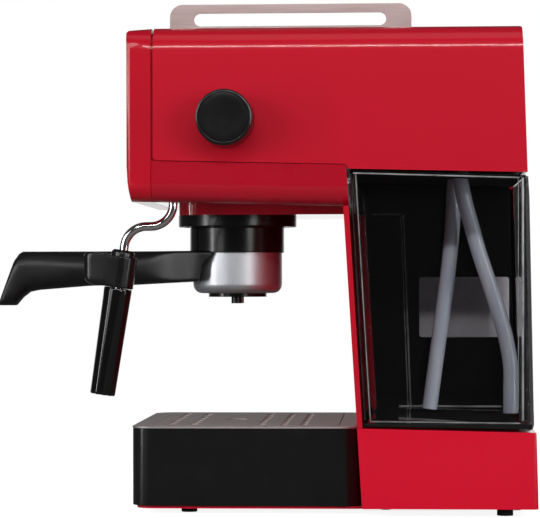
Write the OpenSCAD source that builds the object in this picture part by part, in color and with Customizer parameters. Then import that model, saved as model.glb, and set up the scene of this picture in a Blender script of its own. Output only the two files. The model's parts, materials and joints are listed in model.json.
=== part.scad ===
/* [Body] */
// Width of the housing
body_w = 200; // [194:1:206]
// Height of the head's flat top
head_top = 302.4; // [300:0.2:306]
// Wall thickness of the red mouldings
wall = 2.6; // [2.2:0.1:2.8]
// Radius along the top edges of the head
top_round = 15; // [12:1:18]
// Radius along the lower edges of the head
low_round = 13; // [10:1:15]
// Forward lean of the column, in degrees
lean = 3.43; // [3.2:0.01:3.6]
// Fall of the level joint lines towards the back, in degrees
fall = 1.31; // [1.2:0.01:1.4]

/* [Base and tray] */
// Width of the drip tray
tray_w = 168; // [160:1:172]
// Height of the drip tray's rim above the table
tray_top = 54.8; // [53:0.2:56]
// Diameter of a foot
foot_d = 10; // [8:0.5:14]

/* [Group] */
// Distance of the group axis in front of the origin
group_front = 65.3; // [64:0.1:66]
// Outside radius of the collar ring
collar_r = 38.6; // [38:0.1:39]
// Outside radius of the silver cup
cup_r = 29.1; // [28.8:0.1:29.3]
// Outside radius of the portafilter's black ring
ring_r = 30.5; // [30:0.1:30.8]

/* [Steam] */
// Sideways place of the steam pipe
wand_x = 74; // [70:1:76]
// Diameter of the steam pipe
pipe_d = 5.6; // [5:0.1:6]
// Tilt of the frother sleeve, in degrees
sleeve_tilt = 8.53; // [8:0.01:9]
// Radius of the steam knob at its base
knob_r = 17.5; // [16:0.1:19]

/* [Water tank] */
// Wall thickness of the tank
tank_wall = 2.4; // [2:0.1:3]
// Outside diameter of the silicone hoses
hose_d = 10; // [8:0.5:10.4]

/* [Cup rail] */
// Height of the rail above the head
rail_h = 15.3; // [13:0.1:18]
// Thickness of the rail's sheet
sheet = 1.1; // [1:0.1:1.5]

/* [Hidden] */
$fn = 64;

red = "crimson";
black = "#1b1b1b";
steel = "silver";
half_w = body_w / 2;

// Fits: seam between mouldings, running clearance of a shaft, general clearance
seam = 0.3;
running = 0.05;
clear = 0.4;

// Heights at y = 0 of the level lines, which fall towards the back
low_z = 191.75;
seam_z = 217.2;
step_z = 214.32;
deck_z = 55.03;
base_bottom = 5.3;
tongue_bottom = 3.8;

// Column front, back line and base back, as y at table height, and their thickness
column_foot = 17.9;
column_t = 3.4;
back_foot = 125.66;
back_lean = 1.72;
base_back = 125.6;
base_back_lean = 1.46;
bay_back = 123.5;
bay_back_lean = 1.2;

// Front fascia and cover
fascia_front = -127.3;
fascia_back = -112.2;
cover_front = -110.9;
cover_end = 7.6;
step_end = 9.8;

// Group, bayonet and boiler heights
group_y = -group_front;
boss_bottom = 187.2;
collar_top = 188.2;
collar_bottom = 180.5;
ledge_top = 183.2;
ledge_r = 31.4;
bayonet_r = 34.6;
lug_r = 34.2;
lug_arc = 30;
gap_arc = 36;
unlock_turn = 50;
lug_angles = [90, 210, 330];
flange_z = 222;
flange_t = 5;
flange_r = 43;
boiler_r = 36;
boiler_foot = collar_top + running;
gasket_t = 1.6;
upper_z = flange_z + flange_t + gasket_t;
dome_top = 266;
bolt_ring = 39.4;
bolt_r = 2;

// Control panel: places of the three buttons
panel_z = 260;
button_pitch = 42;
button_r = 9;
lens_z = 240;
lens_r = 2;
panel_w = 144;
panel_h = 54;
board_y = -112.6;

// Steam valve
valve_z = 244.6;
stem_r = 3;

// Pipe and its bends, in the plane of the pipe. Each straight laps a little into the bends
pipe_r = pipe_d / 2;
lap = 0.3;
bush_y = -100.7;
bush_top = 222;
bend_r = 14;
bend_1_z = 193.6;
bend_2_z = bend_1_z - 2 * bend_r;
sleeve_foot = [wand_x, -145.4, 74.3];
sleeve_len = 67.4;
pipe_end = (bend_2_z + bend_r * sin(sleeve_tilt) - sleeve_foot.z) / cos(sleeve_tilt);
bend_2_y = sleeve_foot.y + pipe_end * sin(sleeve_tilt) + bend_r * cos(sleeve_tilt);

// Portafilter heights
cup_bottom = 137.4;
cup_top = 163.7;
ring_top = 184.6;
disc_r = 19;
disc_z = 135;
spout_z = 130.8;

// Pump and hoses
pump_y = 78;
pump_z = 254;
hose_sides = 12;
suction_x = 19;
suction_y = 79;
return_x = 4;
return_y = 77;
hole_r = 6.4;
suction_route = [
    [19, 79, 230], [19, 79, 224], [19, 79, 217], [19, 80, 211], [19, 83, 196], [19, 87, 181],
    [19, 92, 163], [19, 98, 145], [19, 104, 126], [19, 109, 108], [19, 112, 90],
    [19, 112, 74], [19, 112, 60]
];
return_route = [
    [4, 77, 229], [4, 77, 222], [4, 77, 213], [4, 76, 200], [4, 75, 180], [4, 73, 158],
    [4, 70, 134], [4, 66, 106], [4, 63, 84], [4, 60, 62]
];
pressure_route = [
    [-74, 78, 254], [-80, 76, 254], [-85, 66, 256], [-86, 46, 262], [-80, 16, 270],
    [-64, -20, 278], [-42, -46, 284], [-22, -62, 284], [-13, -65, 277], [-12, -65.3, 268]
];
outlet_route = [
    [76, -65.3, 235], [76, -65.3, 227], [76, -70, 220], [75, -79, 217.4], [74.4, -88, 217],
    [74, -97, 217]
];

// Rows of slots in the drip grid, as distances from the group axis
slot_rows = [-38, -23.5, 19, 33.5, 46];
finger_r = 8.5;

function falling(z, y) = z - y * tan(fall);
function column_y(z) = column_foot - z * tan(lean);
function back_y(z) = back_foot - z * tan(back_lean);
function base_y(z) = base_back - z * tan(base_back_lean);
function bay_y(z) = bay_back - z * tan(bay_back_lean);
function arc(cx, cy, r, from, to, n = 6) =
    [for (i = [0:n]) let (a = from + (to - from) * i / n) [cx + r * cos(a), cy + r * sin(a)]];

// Smooth curve through a route's points, and the frame that carries a ring along it
function spline(p, i, t) =
    let (n = len(p) - 1, a = p[max(i - 1, 0)], b = p[i], c = p[i + 1], d = p[min(i + 2, n)])
    0.5 * ((2 * b) + (c - a) * t + (2 * a - 5 * b + 4 * c - d) * t * t
        + (3 * b - a - 3 * c + d) * t * t * t);
function smooth_route(p, per) =
    concat([for (i = [0:len(p) - 2], k = [0:per - 1]) spline(p, i, k / per)], [p[len(p) - 1]]);
function unit(v) = v / norm(v);
function heading(q, i) = unit(q[min(i + 1, len(q) - 1)] - q[max(i - 1, 0)]);
function ring(q, i, r, sides, side_axis) =
    let (h = heading(q, i), u = unit(cross(side_axis, h)), v = cross(h, u))
    [for (k = [0:sides - 1]) q[i] + r * (u * cos(360 * k / sides) + v * sin(360 * k / sides))];

// Round tube along a route. side_axis must never lie along the route
module tube(route, d, sides, per, side_axis) {
    q = smooth_route(route, per);
    n = len(q);
    points = [for (i = [0:n - 1]) each ring(q, i, d / 2, sides, side_axis)];
    walls = [for (i = [0:n - 2], k = [0:sides - 1])
        let (a = i * sides + k, b = i * sides + (k + 1) % sides) each
        [[a, b, b + sides], [a, b + sides, a + sides]]];
    ends = [[for (k = [sides - 1:-1:0]) k], [for (k = [0:sides - 1]) (n - 1) * sides + k]];
    polyhedron(points, concat(walls, ends), convexity = 6);
}

// Extrusions of side profiles [y, z] along X and of cross-sections [x, z] along Y
module along_x(w, x = 0) translate([x, 0, 0]) rotate([90, 0, 90])
    linear_extrude(w, center = true) children();
module along_y(d, y = 0) translate([0, y, 0]) rotate([90, 0, 0])
    linear_extrude(d, center = true) children();
module rod_x(r, from, to, y, z) translate([from, y, z]) rotate([0, 90, 0]) cylinder(to - from, r, r);
module rod_y(r, from, to, x, z) translate([x, from, z]) rotate([-90, 0, 0]) cylinder(to - from, r, r);
module rod_z(r, from, to, x, y) translate([x, y, from]) cylinder(to - from, r, r);
module block(low, high) translate(low) cube(high - low);
module rounded_rect(w, h, r) {
    square([w - 2 * r, h], center = true);
    square([w, h - 2 * r], center = true);
    for (x = [-1, 1], y = [-1, 1]) translate([x * (w / 2 - r), y * (h / 2 - r)]) circle(r);
}

// Long block with the head's rounded cross-section, shrunk by inset on every side
module head_section(inset = 0) {
    tall = 250;
    w = body_w - 2 * inset;
    intersection() {
        along_y(400) translate([0, head_top - inset - tall / 2]) rounded_rect(w, tall, top_round - inset);
        translate([0, 0, low_z + inset]) rotate([-fall, 0, 0])
            along_y(420) translate([0, tall / 2]) rounded_rect(w, tall, low_round - inset);
    }
}

// Base: housing with the floor tongue under the tray, closing plate, feet, screws and gland
post_places = [[-88, 32], [88, 32], [-88, 112], [88, 112]];
gland_x = -60;
gland_z = 28;
duct_x = [-92.4, -84];
module base_housing() {
    top = function(y) falling(deck_z, y);
    color(red) difference() {
        union() {
            intersection() {
                along_x(body_w) polygon([[column_y(base_bottom), base_bottom],
                    [column_y(54.7), top(column_y(54.7))], [base_y(52.2), top(base_y(52.2))],
                    [base_y(base_bottom), base_bottom]]);
                translate([0, 66, 0]) linear_extrude(80) rounded_rect(body_w, 119.4, 4);
            }
            translate([0, 0, tongue_bottom]) linear_extrude(base_bottom - tongue_bottom)
                translate([0, -50.7]) rounded_rect(tray_w - 4, 146, 10);
        }
        difference() {
            along_x(body_w - 2 * wall) polygon([[column_y(0) + wall, -1],
                [column_y(54.7) + wall, top(column_y(54.7)) - wall],
                [base_y(52.2) - wall, top(base_y(52.2)) - wall], [base_y(0) - wall, -1]]);
            for (p = post_places) rod_z(4, 7.4, 60, p.x, p.y);
            block([-100, -60, 0], [100, 22.3, base_bottom]);
        }
        for (p = post_places) rod_z(1.55, 7, 24, p.x, p.y);
        rod_y(7, 115, 130, gland_x, gland_z);
        block([duct_x[0] + 1, 28, 40], [duct_x[1] - 1, 42, 60]);
    }
}
module base_plate() color(black) difference() {
    block([-half_w + wall + 0.2, 22.5, base_bottom], [half_w - wall - 0.2, 122.4, base_bottom + 2]);
    for (p = post_places) rod_z(1.7, 0, 10, p.x, p.y);
}
module rubber_feet() color("#2a2320") {
    for (x = [-60, 60]) rod_z(foot_d / 2, 0, tongue_bottom, x, -92);
    for (x = [-80, 80]) rod_z(foot_d / 2, 0, base_bottom, x, 105.7);
}
module case_screws() color(steel) for (p = post_places) {
    rod_z(3, base_bottom - 1.2, base_bottom, p.x, p.y);
    rod_z(1.5, base_bottom - 0.2, 18, p.x, p.y);
}
module cord_gland() color(black) difference() {
    union() {
        rod_y(6.9, 116, 125.5, gland_x, gland_z);
        rod_y(9.5, 117, 121.5, gland_x, gland_z);
    }
    rod_y(3.5, 110, 130, gland_x, gland_z);
}

// Column: red front and far side, black liner with a duct for the wires, blank label
module column_shell() color(red) {
    foot = function(y) falling(deck_z, y) + seam / 2;
    head = function(y) falling(low_z, y) - seam / 2;
    back_edge = [[bay_y(52), foot(bay_y(52))], [bay_y(211), falling(step_z, bay_y(211)) - seam]];
    along_x(body_w) polygon([[column_y(54.7), foot(column_y(54.7))],
        [column_y(54.7) + column_t, foot(column_y(54.7) + column_t)],
        [column_y(191.6) + column_t, head(column_y(191.6) + column_t)],
        [column_y(191.6), head(column_y(191.6))]]);
    along_x(wall, -half_w + wall / 2) polygon([[column_y(54.7), foot(column_y(54.7))],
        back_edge[0], back_edge[1], [column_y(213) + column_t + seam, falling(step_z, 9) - 2 * seam],
        [column_y(191.6) + column_t + seam, head(column_y(191.6))],
        [column_y(191.6), head(column_y(191.6))]]);
    along_x(4, -half_w + wall + 2 - 0.1) polygon([back_edge[0], back_edge[1],
        [back_edge[1].x - wall, back_edge[1].y - 2], [back_edge[0].x - wall, back_edge[0].y]]);
}
duct_outline = [[column_y(56) + column_t + clear, 56], [48.5, 55], [43.6, 191.4],
    [column_y(191.4) + column_t + clear, 191.4]];
module bay_liner() color(black) difference() {
    union() {
        along_x(2.2, duct_x[0] - 1.1) polygon([[column_y(56) + column_t + clear, 55.4],
            [bay_y(56) - wall - clear, 53.6], [bay_y(208) - wall - clear, 211.2],
            [column_y(213) + column_t + clear, 213.4]]);
        along_x(duct_x[1] - duct_x[0], (duct_x[0] + duct_x[1]) / 2) polygon(duct_outline);
    }
    along_x(duct_x[1] - duct_x[0] + 2, (duct_x[0] + duct_x[1]) / 2 - 3) polygon(
        [[column_y(40) + column_t + 2.4, 40], [46.8, 40], [41.8, 189.4],
        [column_y(189) + column_t + 2.4, 189.4]]);
}
module rating_label() color("#2c2c30")
    along_x(0.3, duct_x[0] + 0.15) translate([84.9, 127.1]) rounded_rect(61.8, 41.4, 2);

// Head: floor with the group boss and the roof of the tank bay, front fascia, cover
module head_floor() color(red) difference() {
    union() {
        difference() {
            intersection() {
                along_x(body_w + 2) polygon([[fascia_back + seam, 150], [column_y(150) + column_t, 150],
                    [column_y(214.9) + column_t, 214.9], [cover_end - seam, falling(seam_z, cover_end) - 0.4],
                    [fascia_back + seam, falling(seam_z, fascia_back) - 0.4]]);
                head_section();
            }
            intersection() {
                along_x(body_w + 2) polygon([[-120, 150], [3, 150], [3, 240], [-120, 240]]);
                head_section(wall);
            }
        }
        along_x(body_w - 2 * wall - 0.8) polygon([[6, falling(step_z, 6) + 0.9],
            [back_y(212) - wall - 0.6, falling(step_z, 116) + 0.9],
            [back_y(212) - wall - 0.6, falling(step_z, 116) + 3.4], [6, falling(step_z, 6) + 3.4]]);
        intersection() {
            translate([0, -39.8, boss_bottom]) linear_extrude(9) rounded_rect(120, 119.6, 15);
            along_x(140) polygon([[-120, 150], [column_y(150) - 0.15, 150],
                [column_y(191.5) - 0.15, 191.5], [column_y(191.5) - 0.15, 240], [-120, 240]]);
        }
        rod_z(9, 195, 204, wand_x, bush_y);
    }
    translate([0, -47.4, boss_bottom + wall]) linear_extrude(20) rounded_rect(114.8, 99.2, 12.4);
    rod_z(boiler_r + 0.8, 150, 200, 0, group_y);
    rod_z(collar_r + clear, boss_bottom - 1, collar_top + 0.1, 0, group_y);
    rod_z(6.1, 150, 210, wand_x, bush_y);
    rod_z(hole_r, 200, 230, suction_x, suction_y);
    rod_z(hole_r, 200, 230, return_x, return_y);
    block([duct_x[0] + 1, 24, 200], [duct_x[1] - 1, 40, 230]);
}
module front_fascia() color(red) {
    board_posts = [[-58, 238], [58, 238], [-58, 284], [58, 284]];
    lip_back = -107.5;
    root = -115.2;
    difference() {
        union() {
            intersection() {
                along_x(body_w + 2) polygon([[fascia_back, 180], [-124.9, 180], [-125.1, 195],
                    [-126.7, 207], [fascia_front, 216], [fascia_front, 290], [-127.7, 299],
                    [-126.4, 300.6], [fascia_back, 301.9]]);
                head_section();
                translate([0, -70, 0]) linear_extrude(400) rounded_rect(body_w, 116, 4);
            }
            intersection() {
                along_y(lip_back - root, (lip_back + root) / 2) square([400, 800], center = true);
                head_section(wall + seam);
            }
        }
        intersection() {
            difference() {
                along_x(body_w + 2) polygon([[-60, 180], [-122.6, 180], [-124.7, 216], [-124.7, 290],
                    [-125, 298.4], [-60, 304]]);
                for (p = board_posts) rod_y(3.2, -126, board_y, p.x, p.y);
            }
            union() {
                head_section(wall + 2.3);
                intersection() {
                    head_section(wall);
                    along_y(40, root - 20) square([400, 800], center = true);
                }
            }
        }
        rod_z(9 + clear, 185, 206, wand_x, bush_y);
        translate([0, fascia_front + 1.2, panel_z + 2]) rotate([90, 0, 0])
            linear_extrude(9) rounded_rect(panel_w, panel_h, 6);
        for (i = [-1:1]) {
            rod_y(button_r + clear, -130, -122, i * button_pitch, panel_z);
            rod_y(lens_r + 0.1, -130, -122, i * button_pitch, lens_z);
        }
    }
}
module top_cover() color(red) difference() {
    intersection() {
        along_x(body_w + 2) polygon(concat(
            arc(cover_front + 2.5, falling(seam_z, cover_front) + 2.5, 2.5, 180, 270),
            [[cover_end, falling(seam_z, cover_end)], [step_end, falling(step_z, step_end)],
            [back_y(211.6), 211.6]], arc(back_y(head_top) - 2, head_top - 2, 2, 0, 90),
            [[cover_front, head_top]]));
        head_section();
    }
    intersection() {
        along_x(body_w + 2) polygon([[cover_front - 5, 150], [back_y(150) - wall, 150],
            [back_y(head_top) - wall, head_top], [cover_front - 5, head_top]]);
        head_section(wall);
    }
    rod_x(5, 90, 110, group_y, valve_z);
}
module cup_rail() color(steel) {
    front = -102;
    back = 48.7;
    rail_x = 80;
    z0 = head_top + 0.1;
    rail_top = z0 + rail_h;
    r = 8;
    slot = [front + 19.2, back - 19.8];
    slot_r = 4;
    block([-rail_x, front + 2, z0], [rail_x, back - 2, z0 + sheet]);
    for (s = [-1, 1]) along_x(sheet, s * (rail_x - sheet / 2)) difference() {
        intersection() {
            union() {
                translate([front, z0]) square([back - front, rail_h - r]);
                translate([front + r, z0]) square([back - front - 2 * r, rail_h]);
                for (y = [front + r, back - r]) translate([y, rail_top - r]) circle(r);
            }
            translate([front, z0]) square([back - front, rail_h]);
        }
        translate([slot[0], rail_top - 9.6 - slot_r]) square([slot[1] - slot[0], 2 * slot_r]);
        for (y = slot) translate([y, rail_top - 9.6]) circle(slot_r);
    }
}

// Control panel
module control_plate() color(steel) difference() {
    translate([0, fascia_front + 1.15, panel_z + 2]) rotate([90, 0, 0])
        linear_extrude(1.1) rounded_rect(panel_w - 0.4, panel_h - 0.4, 5.8);
    for (i = [-1:1]) {
        rod_y(button_r + clear, -130, -120, i * button_pitch, panel_z);
        rod_y(lens_r + 0.1, -130, -120, i * button_pitch, lens_z);
    }
}
module indicator_lenses() color("orange")
    for (i = [-1:1]) rod_y(lens_r, fascia_front, -120, i * button_pitch, lens_z);
module push_button(x) color("#d9d9d9") {
    rod_y(button_r, fascia_front, -123, x, panel_z);
    rod_y(button_r + 1.4, -124.2, -123, x, panel_z);
    rod_y(4, -123.2, -120.3, x, panel_z);
}
module switch_block() color("#333333") for (i = [-1:1])
    block([i * button_pitch - 8, -117.4, panel_z - 7], [i * button_pitch + 8, board_y, panel_z + 7]);
module control_board() color("darkgreen")
    block([-64, board_y, 232], [64, board_y + 1.6, 290]);

// Group head and boiler, all about the group axis
module group_axis() translate([0, group_y, 0]) children();
module sector(r, arc_deg, mid) rotate(mid)
    polygon(concat([[0, 0]], [for (i = [-3:3]) 1.2 * r * [cos(arc_deg * i / 6), sin(arc_deg * i / 6)]]));
module group_collar() color(black) group_axis() difference() {
    rod_z(collar_r, collar_bottom, collar_top, 0, 0);
    rod_z(bayonet_r, ledge_top, 200, 0, 0);
    rod_z(ledge_r, 170, 200, 0, 0);
    translate([0, 0, 170]) linear_extrude(20) intersection() {
        circle(bayonet_r);
        union() for (a = lug_angles) sector(bayonet_r, gap_arc, a - unlock_turn);
    }
}
module group_gasket() color("#7a3b2a") group_axis() difference() {
    rod_z(31.2, 185.8, boiler_foot, 0, 0);
    rod_z(26.4, 180, 190, 0, 0);
}
module shower_screen() color(steel) group_axis() difference() {
    rod_z(26.2, 186.6, boiler_foot, 0, 0);
    rod_z(25.3, 187.4, 190, 0, 0);
    rod_z(2.6, 180, 190, 0, 0);
    for (k = [0:11]) rotate(30 * k) for (r = [9, 15, 21]) rod_z(0.9, 180, 190, r, 0);
}
module screen_screw() color(steel) group_axis() {
    rod_z(4.6, 185.4, 186.6, 0, 0);
    rod_z(2.5, 186.5, 196, 0, 0);
}
module bolt_places() for (k = [0:5]) rotate(60 * k + 30) translate([bolt_ring, 0, 0]) children();
module boiler_lower() color("#b5b5b5") group_axis() difference() {
    union() {
        rod_z(boiler_r, boiler_foot, flange_z + 1, 0, 0);
        rod_z(flange_r, flange_z, flange_z + flange_t, 0, 0);
    }
    rod_z(29, 198, 240, 0, 0);
    rod_z(2.55, 180, 196.5, 0, 0);
    for (a = [45:90:315]) rotate(a) rod_z(1.5, 180, 200, 12, 0);
    bolt_places() rod_z(bolt_r + 0.1, 200, 240, 0, 0);
}
module boiler_gasket() color("#7a3b2a") group_axis() difference() {
    rod_z(36.5, flange_z + flange_t, upper_z, 0, 0);
    rod_z(29, 200, 240, 0, 0);
}
module boiler_upper() color("#b5b5b5") group_axis() difference() {
    union() {
        rod_z(flange_r, upper_z, upper_z + flange_t, 0, 0);
        rod_z(boiler_r - 1, upper_z, dome_top, 0, 0);
        rod_x(5, 30, 42, 0, valve_z);
        rod_z(5, dome_top - 1, dome_top + 4, -12, 0);
    }
    rod_z(31, upper_z - 1, dome_top - 5, 0, 0);
    rod_x(2.5, 20, 50, 0, valve_z);
    rod_z(2.2, dome_top - 10, dome_top + 10, -12, 0);
    bolt_places() rod_z(bolt_r + 0.1, 200, 240, 0, 0);
}
module boiler_bolts() color(steel) group_axis() bolt_places() {
    translate([0, 0, upper_z + flange_t]) cylinder(h = 3, r = 3.3, $fn = 6);
    translate([0, 0, flange_z - 3.2]) cylinder(h = 3.2, r = 3.3, $fn = 6);
    rod_z(bolt_r, flange_z - 4.5, upper_z + flange_t + 1, 0, 0);
}
module thermostats() color("#e8e0d0") group_axis() for (y = [-18, 18]) {
    rod_z(8, dome_top, dome_top + 6, 10, y);
    for (x = [5, 15]) block([x - 0.4, y - 3, dome_top + 5], [x + 0.4, y + 3, dome_top + 13]);
}
module heater_terminals() color(steel) for (x = [-12, 12]) {
    difference() {
        rod_y(3, -34, -24, x, 208);
        group_axis() rod_z(boiler_r + running, 200, 216, 0, 0);
    }
    block([x - 3, -25, 207.6], [x + 3, -16, 208.4]);
}

// Steam valve, its pipes and the swivel bush
module steam_valve_body() color("#c9a24a") difference() {
    union() {
        block([64, group_y - 8, valve_z - 8], [88, group_y + 8, valve_z + 8]);
        rod_x(7, 88, 95, group_y, valve_z);
        rod_z(4.5, 231, 240, 76, group_y);
    }
    rod_x(stem_r + running, 70, 100, group_y, valve_z);
    rod_x(2.5, 60, 72, group_y, valve_z);
    rod_z(2.6, 225, valve_z, 76, group_y);
}
module steam_feed_pipe() color("#c77b46") rod_x(2.45, 37, 69, group_y, valve_z);
module steam_outlet_tube() color("#c77b46") tube(outlet_route, 4.8, 10, 3, [1, 0, 0]);
module wand_bush() color(steel) difference() {
    union() {
        rod_z(6, 194.2, bush_top, wand_x, bush_y);
        rod_z(9, 204, 207, wand_x, bush_y);
    }
    rod_z(pipe_r + running, 190, 212.5, wand_x, bush_y);
    rod_z(1.4, 200, 217, wand_x, bush_y);
    rod_y(2.6, bush_y, bush_y + 8, wand_x, 217);
}

// Pump above the tank bay, with its fittings
module pump_coil() color("#4a4f57") difference() {
    block([-50, pump_y - 18, pump_z - 18], [-8, pump_y + 18, pump_z + 18]);
    rod_x(12.1, -60, 0, pump_y, pump_z);
}
module pump_ends() color("#d8d2c0") {
    rod_x(12, -66, 12, pump_y, pump_z);
    rod_x(4, -78, -65, pump_y, pump_z);
    block([11, pump_y - 8, pump_z - 9], [27, pump_y + 9, pump_z + 9]);
    rod_z(3, 224, pump_z - 8, suction_x, suction_y);
}
module pump_mounts() color(black) for (x = [-46, -20])
    block([x, pump_y - 14, 216.4], [x + 8, pump_y + 14, pump_z - 18]);
module relief_valve() color("#c9a24a") {
    block([-6, 48, 228], [14, 64, 242]);
    block([return_x - 4, 63, 231], [return_x + 4, return_y + 5, 239]);
    rod_z(3, 223, 232, return_x, return_y);
}
module hose_grommets() color(black)
    for (p = [[suction_x, suction_y], [return_x, return_y]]) difference() {
        union() {
            rod_z(hole_r - 0.05, 212.4, 218, p.x, p.y);
            rod_z(7.2, 216.3, 218, p.x, p.y);
        }
        rod_z(hose_d / 2 + 0.15, 200, 230, p.x, p.y);
    }
module suction_hose() color("lightsteelblue") tube(suction_route, hose_d, hose_sides, 3, [1, 0, 0]);
module return_hose() color("lightsteelblue") tube(return_route, hose_d, hose_sides, 4, [1, 0, 0]);
module pressure_hose() color("white") tube(pressure_route, 6, 10, 4, [1, 0.4, 0]);

// Steam knob and stem
module steam_knob() color(black) difference() {
    union() {
        rod_x(knob_r, 101, 104, group_y, valve_z);
        translate([104, group_y, valve_z]) rotate([0, 90, 0]) cylinder(21, knob_r, knob_r - 0.8);
    }
    rod_x(knob_r - 3.2, 123.4, 130, group_y, valve_z);
    rod_x(stem_r + 0.02, 90, 116, group_y, valve_z);
    difference() {
        rod_x(knob_r - 3, 100, 118, group_y, valve_z);
        rod_x(7, 100, 118, group_y, valve_z);
    }
}
module knob_cap() color(black) rod_x(knob_r - 3.4, 123.4, 124.2, group_y, valve_z);
module valve_stem() color(steel) rod_x(stem_r, 73, 115.8, group_y, valve_z);

// Steam pipe and frother, below the bush
module on_sleeve() translate(sleeve_foot) rotate([-sleeve_tilt, 0, 0]) children();
module pipe_arc(y, z, from, turn) translate([wand_x, y, z]) rotate([90, 0, 90])
    rotate(from) rotate_extrude(angle = turn) translate([bend_r, 0]) circle(pipe_r - 0.02, $fn = 32);
module steam_pipe() color(steel) {
    rod_z(pipe_r, bend_1_z - lap, 211, wand_x, bush_y, $fn = 32);
    pipe_arc(bush_y - bend_r, bend_1_z, -90, 90);
    rod_y(pipe_r, bend_2_y - lap, bush_y - bend_r + lap, wand_x, bend_1_z - bend_r, $fn = 32);
    pipe_arc(bend_2_y, bend_2_z, 90, 90 - sleeve_tilt);
    on_sleeve() rod_z(pipe_r, 32, pipe_end + lap, 0, 0, $fn = 32);
}
module wand_grip() color(black) difference() {
    body_r = 9.3;
    tip_r = 6.5;
    body_y = -134;
    tip_y = -157 + tip_r;
    lean = asin((body_r - tip_r) / (body_y - tip_y));
    touch = function(r) [r * cos(lean), -r * sin(lean)];
    a = touch(body_r);
    b = touch(tip_r);
    union() {
        on_sleeve() {
            rod_z(body_r, sleeve_len + seam, 83, 0, 0);
            rod_z(7.4, 82, 91.5, 0, 0);
        }
        intersection() {
            along_x(2 * body_r + 2, wand_x) polygon([[-154.5, 144.4], [-157.5, 148], [-157.5, 160],
                [-154.5, 163.3], [-150, 163.8], [-132, 160.5], [-132, 142.2], [-147, 142.6]]);
            union() {
                rod_z(tip_r, 141, 165, wand_x, tip_y);
                translate([wand_x, 0, 141]) linear_extrude(24) polygon([[-b.x, tip_y + b.y],
                    [b.x, tip_y + b.y], [a.x, body_y + a.y], [-a.x, body_y + a.y]]);
            }
        }
    }
    on_sleeve() rod_z(pipe_r + 0.02, 0, 120, 0, 0);
}
module steam_nozzle() color(steel) on_sleeve() difference() {
    rod_z(4.6, 8, 60, 0, 0);
    rod_z(pipe_r + 0.02, 30, 70, 0, 0);
    rod_z(1, 0, 40, 0, 0);
}
module frother_sleeve() color(black) on_sleeve() difference() {
    cylinder(sleeve_len, 7.85, 8.85);
    rod_z(5.1, -1, 80, 0, 0);
    for (k = [0:3]) rotate(90 * k) rod_x(1.2, 4, 12, 0, 56);
}

// Portafilter, about the group axis
module portafilter_ring() color(black) group_axis() difference() {
    union() {
        rod_z(ring_r, cup_top, 180.2, 0, 0);
        rod_z(ledge_r - 0.4, 180, ring_top, 0, 0);
        translate([0, 0, ledge_top + seam]) linear_extrude(ring_top - ledge_top - seam) intersection() {
            circle(lug_r);
            union() for (a = lug_angles) sector(lug_r, lug_arc, a);
        }
    }
    rod_z(27.4, 150, 190, 0, 0);
}
module portafilter_cup() color("#c4c6c8") group_axis() difference() {
    union() {
        translate([0, 0, cup_bottom]) rotate_extrude() {
            square([cup_r - 6, cup_top - cup_bottom]);
            translate([0, 6]) square([cup_r, cup_top - cup_bottom - 6]);
            translate([cup_r - 6, 6]) intersection() {
                circle(6);
                translate([0, -6]) square(6);
            }
        }
        rod_y(7, -33.5, -cup_r + 2, 0, 154);
    }
    rod_z(26.8, 141, 200, 0, 0);
    rod_z(6, 130, 150, 0, 0);
    rod_y(4.05, -40, -28, 0, 154);
}
handle_top = 165;
seam_drop = 155.4;
tip_seam_y = -203;
module handle_side() polygon([[-76, cup_top - 0.2], [-96, cup_top - 0.2], [-96.7, handle_top],
    [-207.8, handle_top], [-211.6, 159.2], [-213, seam_drop], [-221.8, 131.5], [-221.8, 129.6],
    [-211, 129.6], [-207.2, 134.6], [-202.2, 138.4], [-197, 139.6], [-161.6, 142.4],
    [-131.9, 142.9], [-90.8, 145.1], [-84, 145.1], [-76, 151]]);
module handle_plan() polygon([for (s = [-1, 1], p = s < 0 ? [[27, -74], [28, -88], [22, -101],
    [14.5, -118], [12.5, -140], [12.5, -185], [14, -205], [14, -225]] : [[14, -225], [14, -205],
    [12.5, -185], [12.5, -140], [14.5, -118], [22, -101], [28, -88], [27, -74]]) [-s * p.x, p.y]]);
module handle_blank() intersection() {
    along_x(60) handle_side();
    translate([0, 0, 100]) linear_extrude(100) handle_plan();
}
module tip_region(grow) block([-30, -240, 100], [30, tip_seam_y + grow, seam_drop + grow]);
module portafilter_handle() color(black) difference() {
    handle_blank();
    tip_region(0);
    group_axis() rod_z(cup_r + 0.15, 100, cup_top, 0, 0);
    group_axis() rod_z(ring_r + 0.4, cup_top - 1, 200, 0, 0);
    rod_y(7.2, -99.4, -80, 0, 154);
    rod_y(4.05, -152, -80, 0, 154);
}
module handle_cap() color(black) intersection() {
    handle_blank();
    tip_region(-0.25);
}
module handle_stud() color(steel) rod_y(4, -150, -93.4, 0, 154);
module filter_basket() color(steel) group_axis() difference() {
    union() {
        rod_z(26.2, 143.5, 185, 0, 0);
        rod_z(30.2, ring_top, 185.3, 0, 0);
    }
    rod_z(25.4, 144.3, 190, 0, 0);
    for (k = [0:11]) rotate(30 * k) for (r = [8, 14, 20]) rod_z(0.8, 140, 150, r, 0);
}
module spout_disc() color(black) group_axis() difference() {
    union() {
        rod_z(disc_r, disc_z, cup_bottom, 0, 0);
        rod_z(5.8, cup_bottom - 1, 141, 0, 0);
        for (x = [-9, 9]) rod_z(3.5, spout_z, disc_z + 1, x, 0);
    }
    rod_z(3, 136, 150, 0, 0);
    for (x = [-9, 9]) rod_z(2, 120, 136.4, x, 0);
    block([-9, -2, 135.6], [9, 2, 136.9]);
}

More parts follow.
